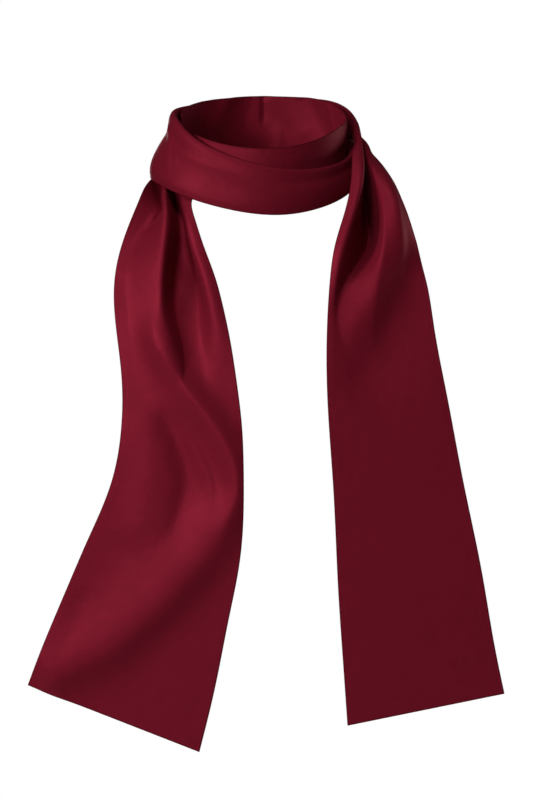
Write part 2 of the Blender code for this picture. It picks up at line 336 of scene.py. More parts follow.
@dataclass
class Cloth:
    """A finely gridded stretch of cloth.

    Attributes:
        grid: The points of its middle surface as rows by columns by three.
        along: Each row's distance down the strip.
        across: Each point's distance from the first edge.
        normals: Unit normals on the side that faces away from the neck.
    """

    grid: np.ndarray
    along: np.ndarray
    across: np.ndarray
    normals: np.ndarray

    def rows(self, first: int, last: int) -> Cloth:
        """The stretch from one row to another, both included."""
        part = slice(first, last + 1)
        return Cloth(self.grid[part], self.along[part], self.across[part], self.normals[part])


@dataclass
class Strip:
    """A strip of cloth through marked points, which a spline joins down the strip and across it.

    Attributes:
        stations: Marked points as sections by marks by three.
        cuts: The sections at which the strip is divided into pieces, with its first and its last.
        bends: The length of cloth in the turn round each mark but the first and last, by section.
        columns: Points from edge to edge.
        row_step: The distance between rows.
        least_bend: The shortest turn that is rounded. A shorter one is left as a mark on a smooth line.
        leg_share: The most that a turn takes of the shorter cloth beside its mark.
        leg_steps: Points read between two knots across, before they are spaced evenly.
        cut_rows: The rows of the grid at which the pieces are divided, once the grid is made.
    """

    stations: np.ndarray
    cuts: tuple[int, ...]
    bends: np.ndarray
    columns: int = 112
    row_step: float = 2.2
    least_bend: float = 1.5
    leg_share: float = 0.3
    leg_steps: int = 10
    cut_rows: list[int] = field(default_factory=list)

    def across_row(self, marks: np.ndarray, bends: np.ndarray) -> np.ndarray:
        """One row of the grid: a rounded line through its marks, evenly spaced over the cloth.

        Args:
            marks: The row's marked points from edge to edge.
            bends: The length of cloth in the turn round each mark but the first and last.

        Returns:
            The row's points.
        """
        back = marks[:-2] - marks[1:-1]
        ahead = marks[2:] - marks[1:-1]
        legs = np.linalg.norm(np.diff(marks, axis=0), axis=1)
        reach = np.minimum(bends / 2.0, self.leg_share * np.minimum(legs[1:], legs[:-1]))[:, None]
        turn = unit(unit(ahead) - unit(back)) * reach
        line = [marks[0]]
        for mark, step, bend in zip(marks[1:-1], turn, bends):
            line += [mark] if bend < self.least_bend else [mark - step, mark + step]
        line = np.array(line + [marks[-1]])
        knots = np.concatenate([[0.0], np.cumsum(np.sqrt(np.linalg.norm(np.diff(line, axis=0), axis=1)))])
        fine = [np.linspace(*leg, self.leg_steps, endpoint=False) for leg in zip(knots, knots[1:])]
        points = spline(knots, line, np.concatenate(fine + [knots[-1:]]))
        run = run_of(points)
        even = np.linspace(0.0, run[-1], self.columns)
        return np.stack([np.interp(even, run, points[:, axis]) for axis in range(3)], axis=-1)

    def cloth(self) -> Cloth:
        """Makes the grid, with its cut rows kept, and measures it.

        Returns:
            The strip as one gridded cloth.
        """
        ends = (self.stations[:, 0] + self.stations[:, -1]) / 2.0
        run = run_of(ends)
        rows: list[np.ndarray] = []
        self.cut_rows = [0]
        for first, last in zip(self.cuts, self.cuts[1:]):
            steps = max(2, round((run[last] - run[first]) / self.row_step))
            rows.append(np.linspace(run[first], run[last], steps, endpoint=False))
            self.cut_rows.append(self.cut_rows[-1] + steps)
        places = np.concatenate(rows + [run[-1:]])
        count = self.stations.shape[1]
        marks = spline(run, self.stations.reshape(len(run), -1), places).reshape(-1, count, 3)
        bends = np.stack([np.interp(places, run, one) for one in self.bends.T], axis=-1)
        return measured(np.array([self.across_row(*row) for row in zip(marks, bends)]))


def measured(grid: np.ndarray) -> Cloth:
    """Measures a grid of points.

    Args:
        grid: The points as rows by columns by three.

    Returns:
        The cloth, with its distances and normals.
    """
    across = np.concatenate([np.zeros_like(grid[:, :1, 0]),
                             np.cumsum(np.linalg.norm(np.diff(grid, axis=1), axis=-1), axis=1)], axis=1)
    along = run_of(grid.mean(axis=1))
    normals = unit(np.cross(np.gradient(grid, axis=0), np.gradient(grid, axis=1)))
    return Cloth(grid, along, across, normals)


def pressed(cloth: Cloth, folds: tuple[SoftFold, ...], chart: np.ndarray,
            mask: np.ndarray | float = 1.0) -> Cloth:
    """Cloth with soft folds pressed into it.

    Args:
        cloth: The cloth.
        folds: The folds.
        chart: The places of the cloth's points in the folds' own two sizes.
        mask: How much of each fold a point takes.

    Returns:
        The folded cloth.
    """
    lift = sum((fold.lift(chart) for fold in folds), np.zeros(chart.shape[:-1]))
    return measured(cloth.grid + (lift * mask)[..., None] * cloth.normals)


def pressed_round(cloth: Cloth, folds: tuple[SoftFold, ...], chart: np.ndarray, arc_per_degree: float,
                  mask: np.ndarray | float = 1.0) -> Cloth:
    """Cloth with soft folds pressed into it, drawn over degrees round the neck and heights.

    Args:
        cloth: The cloth.
        folds: The folds.
        chart: The angle and the height of each of the cloth's points.
        arc_per_degree: The millimetres of cloth in one degree.
        mask: How much of each fold a point takes.

    Returns:
        The folded cloth.
    """
    flat = tuple(replace(fold, route=tuple((turn * arc_per_degree, height) for turn, height in fold.route))
                 for fold in folds)
    return pressed(cloth, flat, chart * (arc_per_degree, 1.0), mask)


@dataclass(frozen=True)
class Shell:
    """The two layers of satin, sewn face to face and turned, as one closed thin shell.

    Attributes:
        half: Half the thickness of the two layers.
        edge_swell: How much thicker each side is at the turned edge.
        edge_reach: How far in that swelling goes.
        allowance: The width of the turned-in seam allowance.
        allowance_swell: How much thicker each side is over the allowance.
        allowance_fade: The width over which that thickness dies away.
        arc: Steps round a turned edge.
        hem_turns: The angles of the rows that round a hem, in radians.
    """

    half: float = 0.40
    edge_swell: float = 0.16
    edge_reach: float = 1.3
    allowance: float = 7.0
    allowance_swell: float = 0.07
    allowance_fade: float = 1.6
    arc: int = 3
    hem_turns: tuple[float, ...] = (0.55, 1.05, 1.45)

    def ring_turns(self) -> np.ndarray:
        """The angles of the points between the outer and the inner face round an edge."""
        return np.linspace(math.pi / 2, -math.pi / 2, self.arc + 2)[1:-1]

    def mesh(self, name: str, cloth: Cloth, start: EndFinish, end: EndFinish) -> bpy.types.Object:
        """Makes the shell as an object.

        Args:
            name: The object's name.
            cloth: Its middle surface.
            start: How its first row ends.
            end: How its last row ends.

        Returns:
            The object. It carries its places on the cloth as a UV map in metres, the distance from the
            nearest edge in millimetres, and how level the strip runs there, from 0 to 1.
        """
        edge = np.minimum(cloth.across, cloth.across[:, -1:] - cloth.across)
        if start is EndFinish.HEM:
            edge = np.minimum(edge, (cloth.along - cloth.along[0])[:, None])
        if end is EndFinish.HEM:
            edge = np.minimum(edge, (cloth.along[-1] - cloth.along)[:, None])
        # How level the strip runs, which the material uses for its painted shade.
        level = 1.0 - np.abs(unit(np.gradient(cloth.grid, axis=0))[..., 2])
        thick = self.half + self.edge_swell * np.exp(-((edge / self.edge_reach) ** 2))
        inward = edge - self.allowance + self.allowance_fade / 2.0
        thick += self.allowance_swell * (1.0 - ease(inward / self.allowance_fade))
        before = self.end_rows(cloth, thick, 0, start)[::-1]
        offsets = cloth.normals * thick[..., None]
        rows = before + list(zip(cloth.grid, offsets)) + self.end_rows(cloth, thick, -1, end)
        rings = [self.ring(line, offset) for line, offset in rows]
        sources = np.clip(np.arange(len(rows)) - len(before), 0, len(cloth.grid) - 1)
        facts = [self.facts(cloth, edge, level, row) for row in sources]
        return self.object_of(name, np.array(rings), np.array(facts))

    def end_rows(self, cloth: Cloth, thick: np.ndarray, row: int,
                 finish: EndFinish) -> list[tuple[np.ndarray, np.ndarray]]:
        """The extra rows that round a hem.

        Args:
            cloth: The middle surface.
            thick: How far each side stands from it.
            row: The end's row, 0 or -1.
            finish: How the cloth ends there.

        Returns:
            The middle line and the outer face's offset of each extra row, from the cloth outward.
        """
        if finish is EndFinish.JOIN:
            return []
        inner = 1 if row == 0 else -2
        out = unit(cloth.grid[row] - cloth.grid[inner])
        made = []
        swell = thick[row][:, None]
        for turn in self.hem_turns:
            line = cloth.grid[row] + out * (swell * math.sin(turn))
            made.append((line, cloth.normals[row] * swell * math.cos(turn)))
        return made

    def ring(self, line: np.ndarray, offset: np.ndarray) -> np.ndarray:
        """The points round one row: outer face, one edge, inner face and the other edge.

        Args:
            line: The row's middle line.
            offset: How far and which way the outer face stands from it.

        Returns:
            The points.
        """
        parts = [line + offset]
        for here, inner in ((-1, -2), (0, 1)):
            size = np.linalg.norm(offset[here])
            out = line[here] - line[inner]
            normal = offset[here] / max(size, TINY)
            out = unit(out - (out @ normal) * normal)
            turns = self.ring_turns() if here == -1 else -self.ring_turns()
            arc = np.array([line[here] + size * (math.cos(t) * out + math.sin(t) * normal) for t in turns])
            if here == -1:
                parts += [arc, (line - offset)[::-1]]
            else:
                parts += [arc]
        return np.concatenate(parts)

    def facts(self, cloth: Cloth, edge: np.ndarray, level: np.ndarray, row: int) -> np.ndarray:
        """What the points of a ring carry.

        Args:
            cloth: The middle surface.
            edge: Each point's distance from the nearest edge.
            level: How level the strip runs at each point.
            row: The row that the ring goes round.

        Returns:
            Across, along, distance from the edge and how level the strip runs, for each point of the ring.
        """
        across = cloth.across[row]
        face = np.stack([across, np.full_like(across, cloth.along[row]), edge[row], level[row]], axis=-1)
        right = np.repeat(face[-1:], self.arc, axis=0)
        left = np.repeat(face[:1], self.arc, axis=0)
        return np.concatenate([face, right, face[::-1], left])

    def object_of(self, name: str, rings: np.ndarray, facts: np.ndarray) -> bpy.types.Object:
        """Joins rings of points into a closed object and keeps the facts on it.

        The rings at its two ends are sharp, so that the shading runs on over a join.

        Args:
            name: The object's name.
            rings: The points as rings by points by three.
            facts: What each point carries.

        Returns:
            The object.
        """
        number = np.arange(rings.shape[0] * rings.shape[1]).reshape(rings.shape[:2])
        mesh = bpy.data.meshes.new(name)
        mesh.from_pydata((rings.reshape(-1, 3) * METRES).tolist(), [], self.faces(number))
        corner = np.zeros(len(mesh.loops), np.int32)
        mesh.loops.foreach_get("vertex_index", corner)
        flat = facts.reshape(len(mesh.vertices), -1)
        layer = mesh.uv_layers.new(name="cloth_place")
        layer.data.foreach_set("uv", (flat[corner, :2] * METRES).astype(np.float32).ravel())
        for column, label in ((2, "edge_distance"), (3, "runs_level")):
            mark = mesh.attributes.new(label, "FLOAT", "POINT")
            mark.data.foreach_set("value", flat[:, column].astype(np.float32))
        mesh.shade_smooth()
        at_end = np.zeros(number.size, bool)
        at_end[number[[0, -1]]] = True
        pairs = np.zeros(2 * len(mesh.edges), np.int32)
        mesh.edges.foreach_get("vertices", pairs)
        mesh.edges.foreach_set("use_edge_sharp", at_end[pairs.reshape(-1, 2)].all(axis=1))
        mesh.update()
        return in_scene(name, mesh)

    def faces(self, number: np.ndarray) -> list[list[int]]:
        """The faces between the rings and over the two ends.

        Args:
            number: Each point's number, as rings by points.

        Returns:
            The corners of each face, in the order that turns it outward.
        """
        here, ahead = number[:-1], number[1:]
        quads = np.stack([here, np.roll(here, -1, axis=1), np.roll(ahead, -1, axis=1), ahead], axis=-1)
        faces = quads.reshape(-1, 4).tolist()
        columns = (number.shape[1] - 2 * self.arc) // 2
        for row, turned in ((number[0], True), (number[-1], False)):
            outer, inner = row[:columns], row[columns + self.arc:2 * columns + self.arc][::-1]
            caps = [[outer[c], outer[c + 1], inner[c + 1], inner[c]] for c in range(columns - 1)]
            caps += [[outer[-1], *row[columns:columns + self.arc], inner[-1]]]
            caps += [[inner[0], *row[2 * columns + self.arc:], outer[0]]]
            faces += [[int(corner) for corner in (cap[::-1] if turned else cap)] for cap in caps]
        return faces


class Nodes:
    """Short ways to add and link the nodes of a material, a world or a group."""

    def __init__(self, tree: bpy.types.NodeTree) -> None:
        """Keeps the tree that the nodes are added to."""
        self.tree = tree

    def link(self, value: object, socket: bpy.types.NodeSocket) -> None:
        """Feeds an input.

        Args:
            value: A socket to link or a value to set.
            socket: The input.
        """
        if isinstance(value, bpy.types.NodeSocket):
            self.tree.links.new(value, socket)
        else:
            socket.default_value = value

    def node(self, kind: str, settings: dict | None = None, **inputs: object) -> bpy.types.Node:
        """Adds a node.

        Args:
            kind: The node's type.
            settings: Values of the node's own properties.
            **inputs: Sockets to link or values to set, by socket name with spaces as underscores.

        Returns:
            The node.
        """
        node = self.tree.nodes.new(kind)
        for label, value in (settings or {}).items():
            setattr(node, label, value)
        for label, value in inputs.items():
            self.link(value, node.inputs[label.replace("_", " ")])
        return node

    def math(self, operation: str, *values: object) -> bpy.types.NodeSocket:
        """Adds a Math node.

        Args:
            operation: What it works out.
            *values: Its inputs, as sockets to link or values to set.

        Returns:
            Its result.
        """
        node = self.node("ShaderNodeMath", {"operation": operation})
        for value, socket in zip(values, node.inputs):
            self.link(value, socket)
        return node.outputs[0]

    def swing(self, value: bpy.types.NodeSocket, middle: float, share: float) -> bpy.types.NodeSocket:
        """How far a value lies from a middle, times a share."""
        return self.math("MULTIPLY", self.math("SUBTRACT", value, middle), share)

    def fading(self, distance: bpy.types.NodeSocket, reach: bpy.types.NodeSocket) -> bpy.types.NodeSocket:
        """A value that falls from 1 to 0 over a reach."""
        return self.math("SUBTRACT", 1.0, self.math("MINIMUM", self.math("DIVIDE", distance, reach), 1.0))

    def attribute(self, name: str) -> bpy.types.NodeSocket:
        """Reads a number that the mesh carries."""
        return self.node("ShaderNodeAttribute", {"attribute_name": name}).outputs["Fac"]

    def group(self, tree: bpy.types.NodeTree, **inputs: object) -> bpy.types.bpy_prop_collection:
        """Places a shared group with its own values and gives its outputs."""
        return self.node("ShaderNodeGroup", {"node_tree": tree}, **inputs).outputs

    def noise(self, place: bpy.types.NodeSocket, scale: object, **inputs: object) -> bpy.types.NodeSocket:
        """Adds a noise over the cloth and gives its value."""
        return self.node("ShaderNodeTexNoise", Vector=place, Scale=scale, **inputs).outputs["Fac"]


class NodeGroup(Nodes):
    """A shader node group under construction, with named sockets."""

    def __init__(self, name: str, inputs: dict[str, float], outputs: tuple[str, ...]) -> None:
        """Makes the group and its sockets, with the place on the cloth as its first input.

        Args:
            name: The group's name.
            inputs: Each further input's default value.
            outputs: The names of the numbers that it puts out.
        """
        super().__init__(bpy.data.node_groups.new(name, "ShaderNodeTree"))
        face = self.tree.interface
        face.new_socket("Cloth Place", in_out="INPUT", socket_type="NodeSocketVector")
        for label, value in inputs.items():
            face.new_socket(label, in_out="INPUT", socket_type="NodeSocketFloat").default_value = value
        for label in outputs:
            face.new_socket(label, in_out="OUTPUT", socket_type="NodeSocketFloat")
        self.source = self.tree.nodes.new("NodeGroupInput")
        self.sink = self.tree.nodes.new("NodeGroupOutput")

    def take(self, label: str) -> bpy.types.NodeSocket:
        """One of the group's inputs, to be linked on."""
        return self.source.outputs[label]

    def give(self, label: str, value: bpy.types.NodeSocket) -> None:
        """Links a value to one of the group's outputs."""
        self.link(value, self.sink.inputs[label])


def satin_weave_group() -> bpy.types.NodeTree:
    """The satin weave: long floats side by side down the strip, with a few thicker threads.

    Returns:
        The group.
    """
    group = NodeGroup(
        "satin_weave",
        {"Threads per Metre": 2600.0, "Float Length": 0.0016, "Stagger": 0.4, "Crispness": 5.0,
         "Rounding": 0.4, "Slubs Across": 900.0, "Slubs Along": 12.0, "Slub": 0.5},
        ("Height", "Tone"),
    )
    split = group.node("ShaderNodeSeparateXYZ", Vector=group.take("Cloth Place"))
    across, down = split.outputs["X"], split.outputs["Y"]
    lane = group.math("MULTIPLY", across, group.take("Threads per Metre"))
    crown = group.math("SINE", group.math("MULTIPLY", group.math("FRACT", lane), math.pi))
    shift = group.math("MULTIPLY", group.math("FLOOR", lane), group.take("Stagger"))
    floats = group.math("DIVIDE", down, group.take("Float Length"))
    in_float = group.math("FRACT", group.math("ADD", floats, shift))
    rise = group.math("MULTIPLY", in_float, group.take("Crispness"))
    dip = group.math("SMOOTH_MIN", rise, 1.0, group.take("Rounding"))
    drawn = group.node("ShaderNodeCombineXYZ", X=group.math("MULTIPLY", across, group.take("Slubs Across")),
                       Y=group.math("MULTIPLY", down, group.take("Slubs Along")))
    slubs = group.noise(drawn.outputs["Vector"], 1.0, Detail=2.0, Roughness=0.55)
    uneven = group.swing(slubs, NOISE_MIDDLE, group.take("Slub"))
    group.give("Height", group.math("ADD", group.math("MULTIPLY", crown, dip), uneven))
    group.give("Tone", group.math("ADD", uneven, NOISE_MIDDLE))
    return group.tree


def handling_group() -> bpy.types.NodeTree:
    """Broad faint unevenness, as pressed and handled satin has in its sheen and its surface.

    Returns:
        The group.
    """
    group = NodeGroup("handled_sheen", {"Patch Size": 0.035, "Ripples per Patch": 3.0}, ("Mask", "Ripple"))
    place = group.take("Cloth Place")
    scale = group.math("DIVIDE", 1.0, group.take("Patch Size"))
    finer = group.math("MULTIPLY", scale, group.take("Ripples per Patch"))
    group.give("Mask", group.noise(place, scale, Detail=3.0, Roughness=0.5, Distortion=0.3))
    group.give("Ripple", group.noise(place, finer, Detail=2.0, Roughness=0.5))
    return group.tree


def turned_edge_group() -> bpy.types.NodeTree:
    """The turned edge: a deeper line along it and small puckers from the seam inside.

    Returns:
        The group.
    """
    group = NodeGroup("turned_edge", {"Edge Distance": 100.0, "Line Width": 0.9, "Pucker Reach": 9.0,
                                      "Pucker Spacing": 0.006}, ("Line", "Pucker"))
    distance = group.take("Edge Distance")
    scale = group.math("DIVIDE", 1.0, group.take("Pucker Spacing"))
    noise = group.noise(group.take("Cloth Place"), scale, Detail=1.0, Roughness=0.4)
    fade = group.fading(distance, group.take("Pucker Reach"))
    group.give("Line", group.fading(distance, group.take("Line Width")))
    group.give("Pucker", group.math("MULTIPLY", noise, group.math("MULTIPLY", fade, fade)))
    return group.tree


@dataclass(frozen=True)
class SatinFinish:
    """Plain burgundy satin.

    Attributes:
        colour: The cloth's colour.
        deep: The colour in its turned edges and between its threads, and the painted shade where the strip
            runs level.
        roughness: How dull it is on the whole.
        roughness_swing: How far handling makes that vary.
        metallic: How much of the gloss takes the cloth's own colour.
        edge_tint: The colour of the gloss at grazing angles.
        sheen: The soft glow at grazing angles.
        sheen_roughness: How far that glow spreads.
        sheen_tint: Its colour.
        gloss: The strength of the colourless gloss.
        edge_tone: How much deeper the line of the turned edge looks.
        thread_middle: The thread tone at which the colour is its own.
        thread_tone: How far the threads' tone varies it.
        handled_tone: How far handling varies it.
        level_painted_shade: Painted shade: how much deeper the colour is made where the strip runs level,
            in place of the light that its floats catch less there.
        weave_depth: The depth of the weave's relief in metres.
        ripple_depth: The depth of its ripples and puckers in metres.
        relief: How strongly both reliefs turn the light.
    """

    colour: Point = (0.205, 0.0090, 0.0235)
    deep: Point = (0.080, 0.0025, 0.0070)
    roughness: float = 0.50
    roughness_swing: float = 0.08
    metallic: float = 0.22
    edge_tint: Point = (0.90, 0.30, 0.38)
    sheen: float = 0.03
    sheen_roughness: float = 0.45
    sheen_tint: Point = (0.80, 0.12, 0.20)
    gloss: float = 0.10
    edge_tone: float = 0.55
    thread_middle: float = 0.6
    thread_tone: float = 0.30
    handled_tone: float = 0.25
    level_painted_shade: float = 0.36
    weave_depth: float = 0.00003
    ripple_depth: float = 0.0008
    relief: float = 0.5

    def material(self, name: str, groups: dict[str, bpy.types.NodeTree]) -> bpy.types.Material:
        """Makes the material.

        Args:
            name: Its name.
            groups: The shared node groups by name.

        Returns:
            The material.
        """
        made = bpy.data.materials.new(name)
        made.use_nodes = True
        nodes = Nodes(made.node_tree)
        place = nodes.node("ShaderNodeUVMap", {"uv_map": "cloth_place"}).outputs["UV"]
        edge = nodes.attribute("edge_distance")
        weave = nodes.group(groups["weave"], Cloth_Place=place)
        handled = nodes.group(groups["handling"], Cloth_Place=place)
        turned = nodes.group(groups["edge"], Cloth_Place=place, Edge_Distance=edge)
        colour = self.shaded(nodes, weave["Tone"], handled["Mask"], turned["Line"])
        swing = nodes.swing(handled["Mask"], NOISE_MIDDLE, 2.0 * self.roughness_swing)
        ripple = nodes.math("ADD", handled["Ripple"], turned["Pucker"])
        threads = nodes.node("ShaderNodeBump", Strength=self.relief, Distance=self.weave_depth,
                             Height=weave["Height"])
        relief = nodes.node("ShaderNodeBump", Strength=self.relief, Distance=self.ripple_depth,
                            Height=ripple, Normal=threads.outputs["Normal"])
        values = {
            "Base Color": colour,
            "Roughness": nodes.math("ADD", swing, self.roughness),
            "Normal": relief.outputs["Normal"],
            "Metallic": self.metallic,
            "Sheen Weight": self.sheen,
            "Sheen Roughness": self.sheen_roughness,
            "Sheen Tint": (*self.sheen_tint, 1.0),
            "Specular IOR Level": self.gloss,
            "Specular Tint": (*self.edge_tint, 1.0),
        }
        for label, value in values.items():
            nodes.link(value, made.node_tree.nodes["Principled BSDF"].inputs[label])
        return made

    def shaded(self, nodes: Nodes, thread: bpy.types.NodeSocket, mask: bpy.types.NodeSocket,
               line: bpy.types.NodeSocket) -> bpy.types.NodeSocket:
        """The colour over the cloth, with painted shade where the strip runs level.

        Args:
            nodes: The material's nodes.
            thread: The tone of the threads.
            mask: The unevenness of handling.
            line: The line of the turned edge.

        Returns:
            The colour's socket.
        """
        shade = nodes.math("MULTIPLY", line, self.edge_tone)
        tone = nodes.swing(thread, self.thread_middle, -self.thread_tone)
        worn = nodes.swing(mask, NOISE_MIDDLE, self.handled_tone)
        # Painted shade: the colour deepens where the strip runs level, standing in for the light that its
        # floats catch less there.
        painted_level_shade = nodes.math("MULTIPLY", nodes.attribute("runs_level"), self.level_painted_shade)
        factor = nodes.math("ADD", nodes.math("ADD", shade, tone), nodes.math("ADD", worn, painted_level_shade))
        mix = nodes.node("ShaderNodeMix", {"data_type": "RGBA", "clamp_factor": True})
        nodes.link(factor, mix.inputs[MIX_FACTOR])
        nodes.link((*self.colour, 1.0), mix.inputs[MIX_FIRST])
        nodes.link((*self.deep, 1.0), mix.inputs[MIX_SECOND])
        return mix.outputs[MIX_RESULT]


@dataclass(frozen=True)
class Stretch:
    """One stretch of the strip that shows.

    Attributes:
        node: The CAD node that it stands for, which also names its piece and its material.
        start: How its first row ends.
        end: How its last row ends.
        flat: The width and length in metres of the cloth that shows, laid flat.
        area: Its flat area in square metres.
        hold: What holds it.
        rests_on: The stretches that it lies on.
    """

    node: str
    start: EndFinish
    end: EndFinish
    flat: Place
    area: float
    hold: Hold
    rests_on: tuple[str, ...]

    def make(self, cloth: Cloth, shell: Shell) -> bpy.types.Object:
        """Makes the piece, hangs it on the root body and hides the CAD part that it stands for.

        Args:
            cloth: Its middle surface.
            shell: The layers of satin.

        Returns:
            The piece.
        """
        piece = shell.mesh(self.node + "_satin", cloth, self.start, self.end)
        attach(piece, "root")
        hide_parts(self.node)
        return piece

    def declare(self, piece: bpy.types.Object) -> None:
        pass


def made_stretches(stretches: tuple[Stretch, ...], cloth: Cloth, cuts: list[int],
                   shell: Shell) -> dict[str, bpy.types.Object]:
    """Cuts a strip of cloth into its stretches.

    Args:
        stretches: What the stretches are, in order down the strip.
        cloth: The whole strip.
        cuts: The rows that the stretches run between.
        shell: The layers of satin.

    Returns:
        The objects by the name of the node that each stands for.
    """
    made = {}
    for stretch, first, last in zip(stretches, cuts, cuts[1:]):
        made[stretch.node] = stretch.make(cloth.rows(first, last), shell)
    return made


@dataclass
class OuterWrap:
    """The strip from the front band's lower pleat round the left and the nape to the right tail's hem.

    Attributes:
        shell: The layers of satin.
        face_shares: The marks' shares of the way from the upper edge to the lower.
        lining_gap: How far inside the upper edge the layer turned down behind it lies.
        top_bend: The length of cloth in the turn over the upper edge.
        face_bend: The same at the marks on the face.
        arc_per_degree: The cloth in one degree round the neck, by which the folds are drawn.
        band_end: The angle at which the front band goes on as the outer nape.
        lining_width: The turned-down layer's width, which takes no folds.
        lining_fade: The width over which the folds set in beside it.
        band_fade: The rows over which the band's folds die away before the right tail.
        tail_fade: The rows after which the tail's folds set in, and over which they do.
        wraps: The sections round the neck.
        crossings: The sections over the shoulder and down the right tail.
        fold_lines: The right tail's pleats from left to right.
        band_folds: Soft folds of the band and the nape, by degrees round the neck and heights.
        tail_folds: Soft folds of the right tail, drawn as the viewer sees them.
        stretches: What each stretch is.
    """

    shell: Shell = Shell()
    face_shares: tuple[float, ...] = (0.0, 0.26, 0.40, 0.60, 0.85, 1.0)
    lining_gap: float = 1.6
    top_bend: float = 4.6
    face_bend: float = 0.0
    arc_per_degree: float = 1.7
    band_end: float = -128.0
    lining_width: float = 24.0
    lining_fade: float = 6.0
    band_fade: float = 12.0
    tail_fade: float = 20.0
    wraps: tuple[Wrap, ...] = (
        Wrap(88, (88.3, -14), (87.8, 4), 0.2, 0.2, 6),
        Wrap(76, (97.5, -20), (90, 5.5), 0.3, 0.8, 9),
        Wrap(64, (99, -22), (89.8, 5), 1.8, 1.6, 10),
        Wrap(50, (100, -24), (89, 5.5), 3.4, 2.7, 10),
        Wrap(32, (100.6, -26.5), (88.9, 7.5), 4.8, 3.6, 12),
        Wrap(12, (100.4, -28), (88.9, 11.8), 5.6, 4.1, 14),
        Wrap(-8, (102, -25.5), (88.9, 18), 5.4, 4, 16),
        Wrap(-24, (105.5, -21.5), (89.5, 24), 4.4, 3.6, 18),
        Wrap(-38, (109.5, -18), (91, 29.3), 3, 3.4, 20),
        Wrap(-49, (112, -16), (91.5, 33.4), 2.4, 3.6, 20),
        Wrap(-60, (113.5, -15.5), (92, 38), 1.8, 4.3, 20),
        Wrap(-73, (114.5, -17.5), (91.5, 41.5), 2.2, 4.5, 20),
        Wrap(-88, (114, -22), (91, 39.5), 2.4, 4.8, 20),
        Wrap(-106, (107, -26), (91, 35.3), 1.8, 4, 20),
        Wrap(-128, (98, -28), (90.1, 29.5), 1, 3, 20),
        Wrap(-141, (97, -28.5), (89.5, 27.5), 1, 3, 20),
        Wrap(-156, (97, -29), (89.5, 26), 1, 3, 20),
        Wrap(-174, (97, -29), (90, 26), 1, 3, 20),
        Wrap(-192, (97, -29), (90.5, 26.5), 1.2, 3, 20),
        Wrap(-210, (98, -28), (92.5, 28), 1.5, 2.6, 21),
        Wrap(-226, (100, -26), (94.5, 30), 1.6, 1.8, 22),
    )
    crossings: tuple[Crossing, ...] = (
        Crossing(LOOP.point(118, 87.2, 8), LOOP.point(118, 104, -22)),
        Crossing(LOOP.point(100, 89, 8), LOOP.point(100, 112, -18)),
        Crossing(LOOP.point(84, 92, 12), LOOP.point(84, 120, -12)),
        Crossing((88.6, -35, 5), (129, -30, -27.5)),
        Crossing((86.6, -68, -22), (136, -50, -42)),
        Crossing((80.3, -88, -51.1), (142, -66, -57.5)),
        Crossing((70, -104, -84.1), (151, -82, -87)),
        Crossing((64.5, -116, -122.2), (160.5, -97, -123.5)),
        Crossing((62, -124, -165.5), (167, -108, -167)),
        Crossing((62.6, -130, -233.6), (179.5, -117, -233.5)),
        Crossing((68.6, -132, -322.4), (195.6, -122, -316.5)),
        Crossing((73.4, -131, -417.4), (214.2, -123, -404.5)),
        Crossing((78.6, -129, -493.3), (227.2, -122, -477)),
        Crossing((83.4, -127, -559.8), (238.2, -121, -529)),
    )
    fold_lines: tuple[FoldLine, ...] = (
        FoldLine(0.12, ((-0.46, 17.8), (-0.31, 15.7), (-0.17, 11), (0.14, 5), (0.15, 5), (0.12, 4.5),
                        (0.09, 4), (0.05, 1), (0.04, 0)), 5),
        FoldLine(0.29, ((-0.07, 13.8), (0.07, 8.7), (0.20, 0), (0.37, -12), (0.50, -26), (0.55, -32),
                        (0.45, -24), (0.16, -6), (0.12, -1)), 5),
        FoldLine(0.46, ((0.13, 11.9), (0.21, 9.8), (0.25, 6.6), (0.33, 3.5), (0.475, 7), (0.57, 8),
                        (0.56, 8.5), (0.47, 6), (0.42, 1.5)), 4),
        FoldLine(0.65, ((0.41, 9), (0.50, 7.4), (0.52, 4.4), (0.56, 6.5), (0.66, 12), (0.75, 14),
                        (0.74, 10), (0.66, 4), (0.62, 0.5)), 16),
        FoldLine(0.86, ((0.79, 3.5), (0.84, 3.2), (0.86, 2.4), (0.87, 3), (0.88, 5.5), (0.89, 6.5),
                        (0.89, 4), (0.84, 1), (0.86, 0)), 10),
    )
    band_folds: tuple[SoftFold, ...] = (
        SoftFold(((-74, 31), (-68, 21), (-62, 11), (-57, 1)), 1.5, 1.8, 7, 10, 16),
        SoftFold(((-84, 34), (-76, 29), (-66, 23), (-57, 14), (-51, 6)), 1.3, 1.8, 7, 10, 16),
        SoftFold(((-150, 8), (-120, 12), (-90, 8)), -1.4, 5, 8, 20, 20),
        SoftFold(((-176, -8), (-150, -12), (-112, -6)), -1.2, 6, 6, 20, 20),
        SoftFold(((178, 6), (150, 10), (122, 4)), -1.4, 6, 6, 16, 16),
        SoftFold(((170, -12), (150, -14), (128, -10)), -1.1, 5, 5, 14, 14),
    )
    tail_folds: tuple[SoftFold, ...] = (
        SoftFold(((114, -95), (116, -111), (110, -126), (100, -145), (86, -165), (72, -190)),
                 2.6, 17, 15, 30, 40),
        SoftFold(((141, -82), (140, -112), (136, -138), (128, -164), (114, -190),
                  (95, -220), (78, -240)), -4, 34, 21, 35, 50),
    )
    stretches: tuple[Stretch, ...] = (
        Stretch("front_band_lower", EndFinish.HEM, EndFinish.JOIN, (0.075, 0.37), 0.024, Hold.DRAPED,
                ("front_band_upper",)),
        Stretch("nape_outer", EndFinish.JOIN, EndFinish.JOIN, (0.080, 0.19), 0.014, Hold.DRAPED,
                ("nape_inner",)),
        Stretch("right_tail", EndFinish.JOIN, EndFinish.HEM, (0.180, 0.70), 0.090, Hold.GATHERED,
                ("nape_inner",)),
    )

